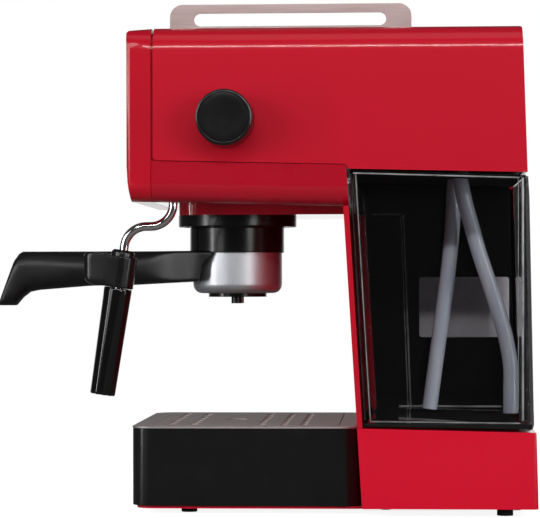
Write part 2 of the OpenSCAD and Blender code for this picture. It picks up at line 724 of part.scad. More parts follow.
// Drip tray with its steel rim and lift-out grid
tray_front = -126.4;
tray_bottom = 5.6;
rim_t = 1.2;
rim_band = 11;
function tray_back(z) = column_y(z) - 1;
module tray_plan(inset, r) {
    back = tray_back(0) + 0.4;
    translate([0, (tray_front + back) / 2])
        rounded_rect(tray_w - 2 * inset, back - tray_front - 2 * inset, r);
}
module tray_side(inset, low, high) along_x(tray_w + 10) polygon([[tray_front - 5, low],
    [tray_back(low) - inset, low], [tray_back(high) - inset, high], [tray_front - 5, high]]);
module drip_tray() color(black) difference() {
    intersection() {
        translate([0, 0, tray_bottom]) linear_extrude(tray_top - rim_t - tray_bottom) tray_plan(0, 12.5);
        tray_side(0, tray_bottom, tray_top);
    }
    intersection() {
        translate([0, 0, tray_bottom + 2.4]) linear_extrude(60) tray_plan(2.4, 10.1);
        tray_side(2.4, tray_bottom - 1, tray_top + 5);
    }
}
module tray_rim() color(steel) difference() {
    intersection() {
        translate([0, 0, tray_top - rim_t]) linear_extrude(rim_t) tray_plan(-0.3, 12.8);
        tray_side(0, tray_top - rim_t - 1, tray_top + 1);
    }
    translate([0, grid_mid, 0]) linear_extrude(100) rounded_rect(grid_w + 1, grid_d + 1, 4);
}
grid_w = tray_w - 2 * rim_band;
grid_d = 117;
grid_mid = -56;
module drip_grid() color(steel) difference() {
    union() {
        translate([0, grid_mid, tray_top - 1]) linear_extrude(1) rounded_rect(grid_w, grid_d, 3.5);
        for (s = [-1, 1]) block([s * (grid_w / 2 - 1) - 1, grid_mid - 45, tray_top - 10],
            [s * (grid_w / 2 - 1) + 1, grid_mid + 45, tray_top - 0.5]);
    }
    rod_z(finger_r, 40, 70, 0, group_y);
    for (y = slot_rows, i = [-3:3]) translate([i * 19.5, group_y + y, 40]) linear_extrude(30)
        rounded_rect(14, 5, 2.4);
}

// Tinted tank that fills the bay and slides out sideways
module water_tank() color([0.25, 0.25, 0.28, 0.5]) {
    far = -82;
    near = half_w - 2;
    lift = 0.5;
    floor_t = 4;
    front = function(z) 9.9 + (212.7 - z) * 0.0554;
    back = function(z) 123.2 - (z - 56.5) * 0.017;
    difference() {
        along_x(near - far, (near + far) / 2) polygon([[front(55.1), falling(deck_z, 18.6) + lift],
            [back(52.7), falling(deck_z, 123.3) + lift], [back(209.2), 209.2], [front(212.7), 212.7]]);
        along_x(near - far - 2 * tank_wall, (near + far) / 2) polygon([
            [front(59) + tank_wall, falling(deck_z, 21) + lift + floor_t],
            [back(57) - tank_wall, falling(deck_z, 121) + lift + floor_t],
            [back(220) - tank_wall, 220], [front(220) + tank_wall, 220]]);
    }
}

base_housing();
base_plate();
rubber_feet();
column_shell();
bay_liner();
rating_label();
head_floor();
front_fascia();
top_cover();
cup_rail();
control_plate();
indicator_lenses();
group_collar();
group_gasket();
shower_screen();
screen_screw();
boiler_lower();
boiler_gasket();
boiler_upper();
boiler_bolts();
thermostats();
heater_terminals();
steam_valve_body();
steam_feed_pipe();
steam_outlet_tube();
wand_bush();
pump_coil();
pump_ends();
pump_mounts();
relief_valve();
pressure_hose();
suction_hose();
return_hose();
hose_grommets();
switch_block();
control_board();
cord_gland();
case_screws();
steam_knob();
knob_cap();
valve_stem();
steam_pipe();
wand_grip();
steam_nozzle();
frother_sleeve();
portafilter_ring();
portafilter_cup();
portafilter_handle();
handle_cap();
handle_stud();
filter_basket();
spout_disc();
drip_tray();
tray_rim();
drip_grid();
water_tank();
push_button(-button_pitch);  // power_button
push_button(0);  // brew_button
push_button(button_pitch);  // steam_button
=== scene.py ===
import json
import math

import bmesh
import bpy
from mathutils import Matrix, Vector


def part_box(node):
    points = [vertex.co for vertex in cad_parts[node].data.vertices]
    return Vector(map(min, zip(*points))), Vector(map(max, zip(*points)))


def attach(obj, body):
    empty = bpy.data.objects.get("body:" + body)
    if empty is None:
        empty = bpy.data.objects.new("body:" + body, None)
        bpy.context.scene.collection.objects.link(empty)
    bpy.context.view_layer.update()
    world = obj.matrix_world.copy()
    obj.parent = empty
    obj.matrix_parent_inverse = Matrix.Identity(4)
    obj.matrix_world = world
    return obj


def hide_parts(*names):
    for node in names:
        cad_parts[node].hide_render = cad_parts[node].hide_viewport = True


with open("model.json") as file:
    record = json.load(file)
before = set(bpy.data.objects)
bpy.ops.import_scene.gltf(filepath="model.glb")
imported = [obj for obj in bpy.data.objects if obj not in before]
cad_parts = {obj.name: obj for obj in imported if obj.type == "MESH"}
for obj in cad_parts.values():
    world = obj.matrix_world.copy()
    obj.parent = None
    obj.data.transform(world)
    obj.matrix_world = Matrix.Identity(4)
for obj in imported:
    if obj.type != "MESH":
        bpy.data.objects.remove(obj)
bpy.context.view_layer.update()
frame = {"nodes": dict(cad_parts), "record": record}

MM = 0.001
nodes = frame["nodes"]


def box_mm(node):
    """(lowest corner, highest corner) of a CAD node in millimetres, to the hundredth."""
    return tuple(tuple(round(value / MM, 2) for value in corner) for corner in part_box(node))


def middle_mm(node):
    """Middle of a CAD node's box in millimetres."""
    low, high = box_mm(node)
    return tuple(round((a + b) / 2, 2) for a, b in zip(low, high))


GROUP_Y = middle_mm("group_collar")[1]
CUP_R, _, CUP_TOP = box_mm("portafilter_cup")[1]
RING_R = 30.5
DECK_Z = 55.03
FALL = math.tan(math.radians(1.31))
PIPE_X = middle_mm("steam_pipe")[0]
PIPE_R = 2.8
BEND_R = 14
SLEEVE_TILT = math.radians(8.53)
SLEEVE_FOOT = Vector((PIPE_X, -145.4, 74.3))
SLEEVE_LENGTH = 67.4


def turns(count):
    """Angles of evenly spaced points on a full circle."""
    return [2 * math.pi * k / count for k in range(count)]


# ---------------------------------------------------------------- camera, light and floor
def add_camera():
    """Looks at the machine's right side, a little from behind its middle and a little upwards."""
    turn = math.radians(3.16)
    tilt = math.radians(0.54)
    roll = -0.002
    ahead = Vector((-math.cos(turn) * math.cos(tilt), -math.sin(turn) * math.cos(tilt), math.sin(tilt)))
    right = Vector((-math.sin(turn), math.cos(turn), 0))
    up = right.cross(ahead)
    right_rolled = math.cos(roll) * right + math.sin(roll) * up
    up_rolled = math.cos(roll) * up - math.sin(roll) * right
    place = (1.600, 0.04425, 0.1446)
    data = bpy.data.cameras.new("camera")
    data.sensor_width = 36
    data.lens = 163
    camera = bpy.data.objects.new("camera", data)
    bpy.context.scene.collection.objects.link(camera)
    turned = Matrix((right_rolled, up_rolled, -ahead)).transposed().to_4x4()
    camera.matrix_world = Matrix.Translation(place) @ turned
    bpy.context.scene.camera = camera


def add_area_light(name, place, target, width, height, watts):
    """White rectangular light at a place in metres, turned to face the target."""
    data = bpy.data.lights.new(name, "AREA")
    data.shape = "RECTANGLE"
    data.size = width
    data.size_y = height
    data.energy = watts
    lamp = bpy.data.objects.new(name, data)
    bpy.context.scene.collection.objects.link(lamp)
    lamp.location = place
    lamp.rotation_euler = (Vector(target) - Vector(place)).to_track_quat("-Z", "Y").to_euler()


def add_lights():
    """Two strips for edge lines, two softboxes and a long key light on the camera's side, and a weak top."""
    middle = (0, -0.02, 0.16)
    add_area_light("strip_front", (0.80, -1.50, 0.35), middle, 0.15, 1.3, 8)
    add_area_light("strip_back", (0.85, 1.45, 0.35), middle, 0.12, 1.2, 5)
    add_area_light("softbox_left", (1.45, -1.35, 0.62), middle, 0.7, 0.9, 6.8)
    add_area_light("softbox_right", (1.60, 1.20, 0.55), middle, 0.7, 0.9, 8.8)
    add_area_light("key_over_camera", (1.62, 0.0, 0.93), middle, 1.4, 0.05, 8.5)
    add_area_light("softbox_top", (0.5, 0.1, 1.6), (0, 0, 0.1), 0.8, 0.8, 1)


def ranged(tree, value, low, high, start, end, eased=False):
    """Turns a value that runs from start to end into one that runs from low to high."""
    ramp = tree.nodes.new("ShaderNodeMapRange")
    if eased:
        ramp.interpolation_type = "SMOOTHSTEP"
    for socket, number in (("From Min", start), ("From Max", end), ("To Min", low), ("To Max", high)):
        ramp.inputs[socket].default_value = number
    tree.links.new(value, ramp.inputs["Value"])
    return ramp.outputs["Result"]


def combined(tree, operation, first, second):
    """Math node on two values. Each is a socket or a number."""
    node = tree.nodes.new("ShaderNodeMath")
    node.operation = operation
    for k, value in enumerate((first, second)):
        if isinstance(value, bpy.types.NodeSocket):
            tree.links.new(value, node.inputs[k])
        else:
            node.inputs[k].default_value = value
    return node.outputs[0]


def add_world():
    """White behind the object. In its reflections: a dark room with a white backdrop low on the far side."""
    room_glow = 0.06
    world = bpy.data.worlds.new("studio")
    bpy.context.scene.world = world
    world.use_nodes = True
    tree = world.node_tree
    tree.nodes.clear()
    place = tree.nodes.new("ShaderNodeTexCoord")
    split = tree.nodes.new("ShaderNodeSeparateXYZ")
    tree.links.new(place.outputs["Generated"], split.inputs[0])
    low_down = ranged(tree, split.outputs["Z"], 1, 0, 0.08, 0.32, eased=True)
    far_side = ranged(tree, split.outputs["X"], 1, 0, -0.97, -0.80, eased=True)
    backdrop = combined(tree, "MULTIPLY", low_down, far_side)
    room = combined(tree, "MAXIMUM", backdrop, room_glow)
    path = tree.nodes.new("ShaderNodeLightPath")
    strength = combined(tree, "MAXIMUM", room, path.outputs["Is Camera Ray"])
    background = tree.nodes.new("ShaderNodeBackground")
    background.inputs["Color"].default_value = (1, 1, 1, 1)
    tree.links.new(strength, background.inputs["Strength"])
    output = tree.nodes.new("ShaderNodeOutputWorld")
    tree.links.new(background.outputs[0], output.inputs[0])
    bpy.context.scene.view_settings.view_transform = "Standard"


def add_floor():
    """Round sheet of pale paper that glows a little to the eye, and bounces less light than it shows."""
    radius = 0.95
    sides = 96
    mesh = bpy.data.meshes.new("floor")
    rim = [(radius * math.cos(turn), radius * math.sin(turn), 0) for turn in turns(sides)]
    mesh.from_pydata(rim, [], [tuple(range(sides))])
    floor = bpy.data.objects.new("floor", mesh)
    bpy.context.scene.collection.objects.link(floor)
    finish, add = new_material("floor_paper", (0.93, 0.93, 0.93), 0.7, Emission_Strength=0.9,
                               Emission_Color=(1, 1, 1, 1))
    grain = add.noise(scale=90, detail=3)
    add.bump(grain, 0.02, 0.0005)
    dull = add.node("BsdfDiffuse")
    dull.inputs["Color"].default_value = (0.30, 0.30, 0.30, 1)
    path = add.node("LightPath")
    add.mix_surface(path.outputs["Is Camera Ray"], dull)
    floor.data.materials.append(finish)


# ---------------------------------------------------------------- materials
class Nodes:
    """Adds procedural detail to one Principled material, from coordinates in the row frame."""

    def __init__(self, tree, shader):
        self.tree = tree
        self.shader = shader
        self.place = self.node("TexCoord").outputs["Object"]

    def node(self, kind):
        return self.tree.nodes.new("ShaderNode" + kind)

    def link(self, source, target):
        self.tree.links.new(source, target)

    def stretched(self, scale):
        mapping = self.node("Mapping")
        mapping.inputs["Scale"].default_value = scale
        self.link(self.place, mapping.inputs["Vector"])
        return mapping.outputs["Vector"]

    def noise(self, scale, detail=3.0, stretch=None, roughness=0.55):
        texture = self.node("TexNoise")
        texture.inputs["Scale"].default_value = scale
        texture.inputs["Detail"].default_value = detail
        texture.inputs["Roughness"].default_value = roughness
        self.link(self.stretched(stretch) if stretch else self.place, texture.inputs["Vector"])
        return texture.outputs["Fac"]

    def cells(self, scale):
        texture = self.node("TexVoronoi")
        texture.inputs["Scale"].default_value = scale
        self.link(self.place, texture.inputs["Vector"])
        return texture.outputs["Distance"]

    def ranged(self, value, low, high, start=0.3, end=0.7):
        return ranged(self.tree, value, low, high, start, end)

    def colours(self, value, dark, light, start=0.3, end=0.7):
        """Base colour that runs from dark to light. dark is a colour, or a socket that gives one."""
        mix = self.node("Mix")
        mix.data_type = "RGBA"
        if isinstance(dark, bpy.types.NodeSocket):
            self.link(dark, mix.inputs["A"])
        else:
            mix.inputs["A"].default_value = (*dark, 1)
        mix.inputs["B"].default_value = (*light, 1)
        self.link(self.ranged(value, 0, 1, start, end), mix.inputs["Factor"])
        self.link(mix.outputs["Result"], self.shader.inputs["Base Color"])
        return mix.outputs["Result"]

    def roughness(self, value, low, high):
        self.link(self.ranged(value, low, high), self.shader.inputs["Roughness"])

    def bump(self, value, strength, depth, into=None):
        bump = self.node("Bump")
        bump.inputs["Strength"].default_value = strength
        bump.inputs["Distance"].default_value = depth
        self.link(value, bump.inputs["Height"])
        if into is not None:
            self.link(into, bump.inputs["Normal"])
        self.link(bump.outputs["Normal"], self.shader.inputs["Normal"])
        return bump.outputs["Normal"]

    def mix_surface(self, share, other):
        """The surface is the Principled shader by this share, and the other shader for the rest."""
        mix = self.node("MixShader")
        self.link(share, mix.inputs["Fac"])
        self.link(other.outputs[0], mix.inputs[1])
        self.link(self.shader.outputs[0], mix.inputs[2])
        self.link(mix.outputs[0], self.tree.nodes["Material Output"].inputs["Surface"])


def new_material(name, colour, roughness, metallic=0.0, **more):
    """A Principled material. more holds other sockets by name, with _ for a space."""
    material = bpy.data.materials.new(name)
    material.use_nodes = True
    tree = material.node_tree
    shader = tree.nodes["Principled BSDF"]
    shader.inputs["Base Color"].default_value = (*colour, 1)
    shader.inputs["Roughness"].default_value = roughness
    shader.inputs["Metallic"].default_value = metallic
    for socket, value in more.items():
        shader.inputs[socket.replace("_", " ")].default_value = value
    return material, Nodes(tree, shader)


def shade_of(colour, share):
    return tuple(channel * share for channel in colour)


def red_finish(name, colour, roughness, coat_roughness=0.15):
    """Red moulding with a fine grain, a faint sparkle and slow waves left by the mould."""
    material, add = new_material(name, colour, roughness, Coat_Weight=1.0,
                                 Coat_Roughness=coat_roughness, Specular_IOR_Level=0.1)
    sparkle = add.noise(scale=2600, detail=2)
    add.colours(sparkle, shade_of(colour, 0.93), shade_of(colour, 1.07), 0.35, 0.65)
    waves = add.noise(scale=45, detail=2)
    add.roughness(waves, roughness - 0.04, roughness + 0.05)
    fine = add.bump(sparkle, 0.05, 0.00005)
    add.bump(waves, 0.04, 0.0006, fine)
    return material


def black_finish(name, colour, roughness, grain_depth=0.00004):
    """Black moulding with a fine spark-eroded grain and slightly worn, uneven gloss."""
    material, add = new_material(name, colour, roughness)
    grain = add.noise(scale=3200, detail=2)
    smears = add.noise(scale=60, detail=4)
    add.colours(smears, shade_of(colour, 0.85), shade_of(colour, 1.2))
    add.roughness(smears, roughness * 0.9, roughness * 1.12)
    add.bump(grain, 0.12, grain_depth)
    return material


def brushed_finish(name, colour, roughness, stretch):
    """Steel with fine brush lines. stretch is small along the brush and large across it."""
    material, add = new_material(name, colour, roughness, metallic=0.8)
    lines = add.noise(scale=1.0, detail=4, stretch=stretch, roughness=0.7)
    stain = add.noise(scale=25, detail=3)
    add.colours(lines, shade_of(colour, 0.86), shade_of(colour, 1.08))
    add.roughness(lines, roughness - 0.03, roughness + 0.05)
    fine = add.bump(lines, 0.10, 0.00002)
    add.bump(stain, 0.03, 0.0004, fine)
    return material


def polished_finish(name, colour, roughness):
    """Polished metal with faint hairlines and finger marks."""
    material, add = new_material(name, colour, roughness, metallic=1.0)
    marks = add.noise(scale=140, detail=4)
    add.roughness(marks, roughness * 0.97, roughness * 1.05)
    add.colours(marks, shade_of(colour, 0.985), colour)
    return material


def cast_finish(name, colour, roughness, metallic, lumps=900, depth=0.00012):
    """Cast or plated metal, or another dull solid, with a pebbled skin."""
    material, add = new_material(name, colour, roughness, metallic=metallic)
    pebbles = add.noise(scale=lumps, detail=3)
    patches = add.noise(scale=70, detail=4)
    add.colours(patches, shade_of(colour, 0.82), shade_of(colour, 1.1))
    add.roughness(patches, roughness - 0.08, roughness + 0.08)
    add.bump(pebbles, 0.3, depth)
    return material


def hose_finish():
    """Milky silicone tube that lets some light through, with a painted warm rim light that lightens it
    towards its rim.
    """
    milk_dark, milk_light, painted_rim_light = (0.62, 0.70, 0.84), (0.82, 0.88, 0.97), (0.95, 0.90, 0.84)
    material, add = new_material("silicone_tube", milk_dark, 0.15, IOR=1.41, Alpha=0.84,
                                 Coat_Weight=1.0, Coat_Roughness=0.03)
    cloud = add.noise(scale=130, detail=3, stretch=(1, 1, 0.15))
    milk = add.colours(cloud, milk_dark, milk_light)
    # Painted rim light: the colour turns warm and light where the surface faces away from the view.
    rim = add.node("LayerWeight")
    rim.inputs["Blend"].default_value = 0.5
    add.colours(rim.outputs["Facing"], milk, painted_rim_light, 0.72, 0.92)
    add.roughness(cloud, 0.12, 0.24)
    return material


def tank_finish():
    """Clear smoke-tinted plastic: a thin gloss skin over a see-through grey."""
    material, add = new_material("smoke_plastic", (0.02, 0.02, 0.022), 0.05, IOR=1.49,
                                 Specular_IOR_Level=1.0, Coat_Weight=1.0, Coat_IOR=1.8)
    clear = add.node("BsdfTransparent")
    clear.inputs["Color"].default_value = (0.985, 0.98, 0.985, 1)
    edge = add.node("Fresnel")
    edge.inputs["IOR"].default_value = 1.45
    add.mix_surface(add.ranged(edge.outputs["Fac"], 0.03, 0.95, 0.04, 1.0), clear)
    ripple = add.noise(scale=22, detail=2)
    add.bump(ripple, 0.015, 0.0008)
    return material


def edge_finish():
    """Painted highlight for light caught in the clear plastic's edges, brighter in some places than in
    others.
    """
    colour = (0.80, 0.81, 0.82)
    material, add = new_material("tank_edge", colour, 0.25, IOR=1.49, Alpha=0.85)
    streaks = add.noise(scale=70, detail=3)
    add.colours(streaks, shade_of(colour, 0.55), colour, 0.35, 0.6)
    add.roughness(streaks, 0.2, 0.4)
    return material


def lens_finish():
    """Amber lens with fine facets in its colour and surface."""
    colour = (0.85, 0.30, 0.03)
    material, add = new_material("amber_lens", colour, 0.15, Coat_Weight=0.6)
    facets = add.cells(scale=1400)
    add.colours(facets, shade_of(colour, 0.7), colour, 0.0, 0.6)
    add.bump(facets, 0.3, 0.0001)
    return material


def make_finishes():
    """One finish for each material slot in the record."""
    along_y = (1800, 25, 1800)
    along_x = (25, 1800, 1800)
    return {
        "red_plastic": red_finish("red_moulding", (0.60, 0.004, 0.022), 0.38),
        # Darker copy of the red for the head's underside: painted shade. Its lower roughness and sharper coat
        # are real gloss.
        "red_underside_painted_shade": red_finish("red_underside_painted_shade", (0.50, 0.004, 0.020), 0.30, 0.06),
        "red_front": red_finish("red_front", (0.58, 0.001, 0.017), 0.46),
        # Lighter copy of the red for the base: painted light, standing in for light bounced up from the
        # floor.
        "red_base_painted_light": red_finish("red_base_painted_light", (0.80, 0.001, 0.027), 0.42),
        "red_paint": red_finish("red_paint", (0.62, 0.004, 0.022), 0.45),
        "black_plastic": black_finish("satin_black", (0.0065, 0.0062, 0.006), 0.40),
        "gloss_black": black_finish("gloss_black", (0.004, 0.0038, 0.0036), 0.10, 0.000004),
        "smooth_black": black_finish("smooth_black", (0.005, 0.005, 0.0048), 0.23, 0.00001),
        "grid_steel": brushed_finish("grid_steel", (0.52, 0.47, 0.455), 0.50, along_x),
        "dull_black": black_finish("dull_black", (0.004, 0.004, 0.004), 0.8),
        "foot_rubber": cast_finish("foot_rubber", (0.022, 0.017, 0.014), 0.8, 0.0, lumps=2500),
        "label_film": black_finish("label_film", (0.90, 0.87, 0.93), 0.5),
        # The pink in this steel colour is a painted reflection of the machine's red body.
        "brushed_steel": brushed_finish("brushed_steel", (0.60, 0.455, 0.445), 0.34, along_y),
        "brushed_plate": brushed_finish("brushed_plate", (0.62, 0.60, 0.59), 0.30, along_x),
        "chrome": polished_finish("chrome", (0.80, 0.79, 0.78), 0.05),
        "zinc": cast_finish("zinc_plate", (0.55, 0.55, 0.56), 0.32, 1.0, lumps=1600, depth=0.00003),
        "cast_aluminium": cast_finish("cast_aluminium", (0.50, 0.50, 0.51), 0.48, 1.0),
        "silver_cup": polished_finish("satin_silver", (0.74, 0.76, 0.80), 0.43),
        "silicone_seal": cast_finish("seal_rubber", (0.30, 0.07, 0.04), 0.65, 0.0, lumps=1500),
        "silicone_hose": hose_finish(),
        "smoke_tank": tank_finish(),
        "tank_edge": edge_finish(),
        "brass": cast_finish("brass", (0.62, 0.43, 0.16), 0.28, 1.0, lumps=1200, depth=0.00004),
        "copper": polished_finish("copper", (0.70, 0.33, 0.20), 0.22),
        "pump_coil": cast_finish("coil_frame", (0.06, 0.065, 0.075), 0.45, 0.2),
        "white_plastic": black_finish("white_moulding", (0.72, 0.71, 0.68), 0.35, 0.00002),
        "lens_amber": lens_finish(),
        "circuit_board": cast_finish("board_laminate", (0.015, 0.13, 0.05), 0.35, 0.0, lumps=500),
    }


# ---------------------------------------------------------------- mesh helpers
def build_mesh(name, points_mm, faces, smooth=True):
    """An object from points in millimetres, with doubled points merged and faces turned outwards."""
    mesh = bpy.data.meshes.new(name)
    mesh.from_pydata([Vector(p) * MM for p in points_mm], [], faces)
    tidy = bmesh.new()
    tidy.from_mesh(mesh)
    bmesh.ops.remove_doubles(tidy, verts=tidy.verts, dist=1e-6)
    bmesh.ops.recalc_face_normals(tidy, faces=tidy.faces)
    tidy.to_mesh(mesh)
    tidy.free()
    for polygon in mesh.polygons:
        polygon.use_smooth = smooth
    piece = bpy.data.objects.new(name, mesh)
    bpy.context.scene.collection.objects.link(piece)
    return piece


def set_smooth(piece, angle_deg=35):
    """Smooth shading that keeps edges sharper than the angle."""
    mesh = piece.data
    work = bmesh.new()
    work.from_mesh(mesh)
    for edge in work.edges:
        joins_two = len(edge.link_faces) == 2
        edge.smooth = joins_two and edge.calc_face_angle(0) < math.radians(angle_deg)
    for face in work.faces:
        face.smooth = True
    work.to_mesh(mesh)
    work.free()


def place_piece(piece, finish, body, slot, *stands_for):
    """Gives a piece its finish, its body and slot, and the CAD nodes it is seen in place of."""
    piece.data.materials.clear()
    piece.data.materials.append(finishes[finish])
    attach(piece, body)
    if stands_for:
        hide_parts(*stands_for)


def ring_faces(count, sides, closed=False):
    """Quads between neighbouring rings of points, and back to the first ring if closed."""
    faces = []
    for i in range(count if closed else count - 1):
        j = (i + 1) % count
        for k in range(sides):
            m = (k + 1) % sides
            faces.append((i * sides + k, i * sides + m, j * sides + m, j * sides + k))
    return faces


def loft(name, rings, closed=False, smooth=True):
    """A skin over rings of equal point counts, back to the first ring if closed, else with flat ends."""
    sides = len(rings[0])
    points = [p for ring in rings for p in ring]
    faces = ring_faces(len(rings), sides, closed)
    if not closed:
        faces.append(tuple(range(sides)))
        faces.append(tuple((len(rings) - 1) * sides + k for k in range(sides)))
    return build_mesh(name, points, faces, smooth)


def revolve(name, profile, to_row, steps=96):
    """Closed outline [(radius, height)] turned about an axis. to_row maps (u, v, height) to the row."""
    rings = [[to_row(radius * math.cos(turn), radius * math.sin(turn), height) for turn in turns(steps)]
             for radius, height in profile]
    return loft(name, rings, closed=True)


def slab_along_x(name, outline_yz, low_x, high_x):
    """Flat piece with an outline of (y, z) points, between two places along X."""
    return loft(name, [[(x, y, z) for y, z in outline_yz] for x in (low_x, high_x)], smooth=False)


def circle_ring(middle, across, third, radius, sides):
    """Points of a circle about a middle, in the plane of two unit vectors."""
    return [middle + radius * (math.cos(turn) * across + math.sin(turn) * third) for turn in turns(sides)]


def rod_between(start, end, radius, sides=10):
    """Rings of a straight round bar."""
    start, end = Vector(start), Vector(end)
    ahead = (end - start).normalized()
    across = ahead.orthogonal().normalized()
    third = ahead.cross(across)
    return [circle_ring(point, across, third, radius, sides) for point in (start, end)]


def straight_between(points, at):
    """Value at a place on a line through (place, value) points, with places in rising order."""
    for (a, start), (b, end) in zip(points, points[1:]):
        if at <= b:
            return start + (end - start) * (max(at, a) - a) / (b - a)
    return points[-1][1]


def smooth_between(points, at):
    """As straight_between, but with a curve that has no kinks at the points."""
    last = len(points) - 1
    for i in range(last):
        a, start = points[i]
        b, end = points[i + 1]
        if at <= b or i == last - 1:
            before = points[max(i - 1, 0)]
            after = points[min(i + 2, last)]
            slope_a = (end - before[1]) / (b - before[0])
            slope_b = (after[1] - start) / (after[0] - a)
            width = b - a
            t = min(max((at - a) / width, 0), 1)
            return ((2 * t**3 - 3 * t**2 + 1) * start + (t**3 - 2 * t**2 + t) * width * slope_a
                    + (3 * t**2 - 2 * t**3) * end + (t**3 - t**2) * width * slope_b)


def cut(piece, cutter):
    """Takes the cutter's volume out of the piece, and deletes the cutter."""
    modifier = piece.modifiers.new("cut", "BOOLEAN")
    modifier.operation = "DIFFERENCE"
    modifier.solver = "EXACT"
    modifier.object = cutter
    bpy.context.view_layer.update()
    result = bpy.data.meshes.new_from_object(piece.evaluated_get(bpy.context.evaluated_depsgraph_get()))
    piece.modifiers.clear()
    piece.data = result
    bpy.data.objects.remove(cutter)


def add_bevel(piece, width_mm, angle_deg=38, segments=3):
    """Rounds sharp edges, after welding the split corners CAD meshes have, and keeps flat faces flat."""
    weld = piece.modifiers.new("weld", "WELD")
    weld.merge_threshold = 1e-6
    bevel = piece.modifiers.new("edge_round", "BEVEL")
    bevel.width = width_mm * MM
    bevel.segments = segments
    bevel.limit_method = "ANGLE"
    bevel.angle_limit = math.radians(angle_deg)
    bevel.harden_normals = False
    bevel.use_clamp_overlap = True
    bevel.miter_outer = "MITER_ARC"
    normals = piece.modifiers.new("even_normals", "WEIGHTED_NORMAL")
    normals.weight = 50
    normals.keep_sharp = False


# ---------------------------------------------------------------- hoses
SUCTION_ROUTE = [
    (19, 79, 230), (19, 79, 224), (19, 79, 217), (19, 80, 211), (19, 83, 196), (19, 87, 181),
    (19, 92, 163), (19, 98, 145), (19, 104, 126), (19, 109, 108), (19, 112, 90), (19, 112, 74),
    (19, 112, 60),
]
RETURN_ROUTE = [
    (4, 77, 229), (4, 77, 222), (4, 77, 213), (4, 76, 200), (4, 75, 180), (4, 73, 158),
    (4, 70, 134), (4, 66, 106), (4, 63, 84), (4, 60, 62),
]
HOSE_R = 4.95
HOSE_BORE_R = 3.1


def smooth_route(points, per_span):
    """Curve through the points, as evenly spaced steps within each span."""
    route = [Vector(p) for p in points]
    last = len(route) - 1
    found = []
    for i in range(last):
        a, b, c, d = (route[max(0, min(last, i + k))] for k in (-1, 0, 1, 2))
        for step in range(per_span):
            t = step / per_span
            found.append(0.5 * (2 * b + (c - a) * t + (2 * a - 5 * b + 4 * c - d) * t**2
                                + (3 * b - a - 3 * c + d) * t**3))
    return found + [route[-1]]


def tube_rings(line, radius, sides):
    """Rings of points round a line that stays close to a plane across X."""
    rings = []
    for i, point in enumerate(line):
        ahead = (line[min(i + 1, len(line) - 1)] - line[max(i - 1, 0)]).normalized()
        across = Vector((1, 0, 0))
        third = across.cross(ahead).normalized()
        rings.append(circle_ring(point, across, third, radius, sides))
    return rings


def add_hose(name, route, stands_for):
    """Hollow silicone tube, open at its lower end inside the tank."""
    sides = 28
    line = smooth_route(route, 6)
    outer = tube_rings(line, HOSE_R, sides)
    bore = tube_rings(line, HOSE_BORE_R, sides)
    hose = loft(name, outer + bore[::-1], closed=True)
    set_smooth(hose, 40)
    place_piece(hose, "silicone_hose", "machine", "silicone_hose", stands_for)


# ---------------------------------------------------------------- portafilter
HANDLE_TIP_Y = -221.8
HANDLE_ROOT_Y = -76
HANDLE_TOP = [(HANDLE_TIP_Y, 131.5), (-213.4, 155.4), (-211.9, 159.4), (-208.6, 163.9), (-206.5, 165.0),
              (HANDLE_ROOT_Y, 165.0)]
HANDLE_UNDER = [(HANDLE_TIP_Y, 129.6), (-211.5, 129.6), (-207.2, 134.6), (-202.2, 138.4), (-197, 139.6),
                (-161.6, 142.4), (-131.9, 142.9), (-90.8, 145.1), (HANDLE_ROOT_Y, 145.4)]
HANDLE_HALF_WIDTH = [(HANDLE_TIP_Y, 10.5), (-217, 13.4), (-205, 14), (-185, 12.5), (-140, 12.5),
                     (-118, 14.5), (-101, 22), (-88, 28), (-74, 27)]
HANDLE_SQUARENESS = [(HANDLE_TIP_Y, 3.2), (-122, 3.2), (-100, 14), (HANDLE_ROOT_Y, 14)]
TIP_SEAM_Y = -203
TIP_SEAM_Z = 155.4


def superellipse(half_w, half_h, power, sides):
    """Points round a rounded rectangle in its own plane."""
    points = []
    for k in range(sides):
        turn = 2 * math.pi * (k + 0.5) / sides
        c, s = math.cos(turn), math.sin(turn)
        points.append((half_w * math.copysign(abs(c) ** (2 / power), c),
                       half_h * math.copysign(abs(s) ** (2 / power), s)))
    return points


def handle_solid(name):
    """The whole handle with its dropped tip, before it is cut to the cup."""
    sides = 64
    fine, coarse, arm_from_y = 0.7, 4, -200
    places = [HANDLE_TIP_Y + fine * k for k in range(31)] + [arm_from_y + coarse * k for k in range(32)]
    rings = []
    for y in places:
        top = straight_between(HANDLE_TOP, y)
        under = straight_between(HANDLE_UNDER, y)
        half = smooth_between(HANDLE_HALF_WIDTH, y)
        middle = (top + under) / 2
        power = smooth_between(HANDLE_SQUARENESS, y)
        section = superellipse(half, (top - under) / 2, power, sides)
        rings.append([(x, y, middle + z) for x, z in section])
    return loft(name, rings)


def cylinder_about_group(radius, low, high):
    """Upright cutter about the group's axis."""
    axis = Vector((0, GROUP_Y, 0))
    up = Vector((0, 0, 1))
    across = Vector((1, 0, 0))
    rings = [circle_ring(axis + z * up, across, up.cross(across), radius, 96) for z in (low, high)]
    return loft("cutter", rings)


def add_handle_root():
    """Curved rib that joins the handle to the ring above it."""
    half_arc = math.radians(35.5)
    inner_r, outer_r = RING_R + 0.02, RING_R + 0.62
    low, high = CUP_TOP + 0.3, 180.0
    steps = 24
    chamfer = 0.5
    outline = [(inner_r, low), (outer_r, low), (outer_r, high - chamfer), (outer_r - chamfer, high),
               (inner_r, high)]
    rings = []
    for k in range(steps + 1):
        turn = -math.pi / 2 + half_arc * (2 * k / steps - 1)
        rings.append([(r * math.cos(turn), GROUP_Y + r * math.sin(turn), z) for r, z in outline])
    rib = loft("handle_root_rib", rings)
    set_smooth(rib, 30)
    place_piece(rib, "smooth_black", "portafilter", "black_plastic")


